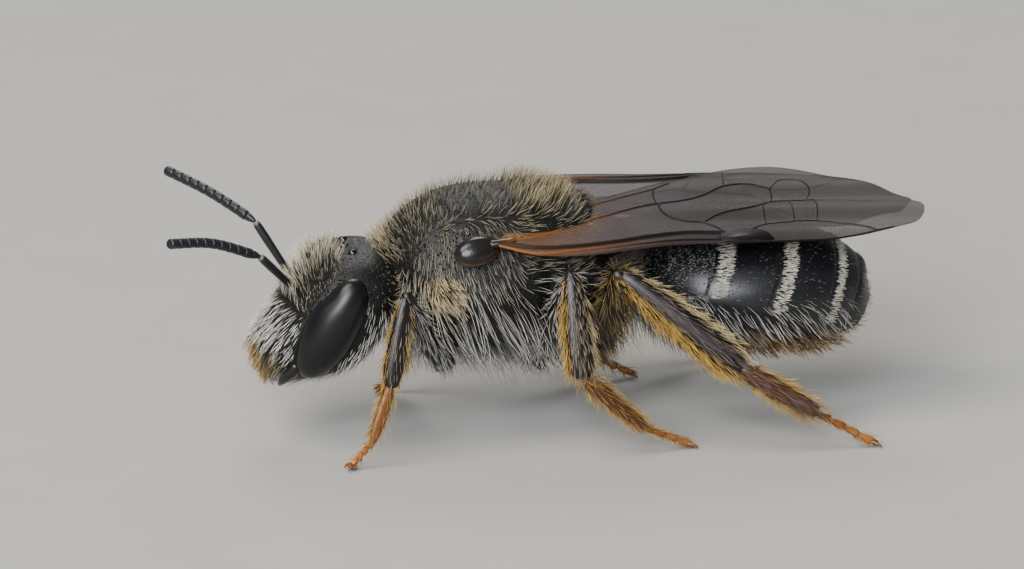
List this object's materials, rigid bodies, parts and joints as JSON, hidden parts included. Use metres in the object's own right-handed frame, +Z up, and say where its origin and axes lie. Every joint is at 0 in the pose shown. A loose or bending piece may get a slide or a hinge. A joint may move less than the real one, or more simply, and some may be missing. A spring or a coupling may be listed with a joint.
{
  "type": "furrow bee",
  "caption": "Life-size still model of a female furrow bee at rest, wings folded over its back, standing on its feet.",
  "frame": {"origin": "on the floor, under the middle of the box round the whole bee", "axes": "-Y points the way the bee faces, +X to the bee's left side, +Z up"},
  "size_m": [0.0056, 0.0126, 0.0043],
  "materials": {
    "furry_cuticle": "dull black cuticle under buff-grey standing hair",
    "glossy_cuticle": "polished blue-black cuticle with fine pits and white bands of felt",
    "black_cuticle": "satin black cuticle",
    "compound_eye": "polished black with fine facets",
    "hairy_leg": "dark brown cuticle with buff and golden hair",
    "amber_foot": "amber brown cuticle with golden bristles",
    "wing_membrane": "smoky clear membrane with brown veins"
  },
  "bodies": {
    "root": {"eye_left": "compound_eye", "mandible_left": "black_cuticle", "antenna_scape_left": "black_cuticle", "antenna_flagellum_left": "black_cuticle", "tegula_left": "black_cuticle", "leg_fore_left_tibia": "hairy_leg", "leg_fore_left_femur": "hairy_leg", "leg_fore_left_coxa": "hairy_leg", "leg_fore_left_tarsus": "amber_foot", "leg_mid_left_tibia": "hairy_leg", "leg_mid_left_femur": "hairy_leg", "leg_mid_left_coxa": "hairy_leg", "leg_mid_left_tarsus": "amber_foot", "leg_hind_left_tibia": "hairy_leg", "leg_hind_left_femur": "hairy_leg", "leg_hind_left_coxa": "hairy_leg", "leg_hind_left_tarsus": "amber_foot", "eye_right": "compound_eye", "mandible_right": "black_cuticle", "antenna_scape_right": "black_cuticle", "antenna_flagellum_right": "black_cuticle", "tegula_right": "black_cuticle", "leg_fore_right_tibia": "hairy_leg", "leg_fore_right_femur": "hairy_leg", "leg_fore_right_coxa": "hairy_leg", "leg_fore_right_tarsus": "amber_foot", "leg_mid_right_tibia": "hairy_leg", "leg_mid_right_femur": "hairy_leg", "leg_mid_right_coxa": "hairy_leg", "leg_mid_right_tarsus": "amber_foot", "leg_hind_right_tibia": "hairy_leg", "leg_hind_right_femur": "hairy_leg", "leg_hind_right_coxa": "hairy_leg", "leg_hind_right_tarsus": "amber_foot", "head": "furry_cuticle", "wing_fore_left": "wing_membrane", "wing_fore_right": "wing_membrane", "abdomen_segment_1": "glossy_cuticle", "abdomen_segment_2": "glossy_cuticle", "abdomen_segment_3": "glossy_cuticle", "abdomen_segment_4": "glossy_cuticle", "abdomen_segment_5": "glossy_cuticle", "wing_hind_left": "wing_membrane", "wing_hind_right": "wing_membrane", "thorax": "furry_cuticle"}
  },
  "joints": []
}
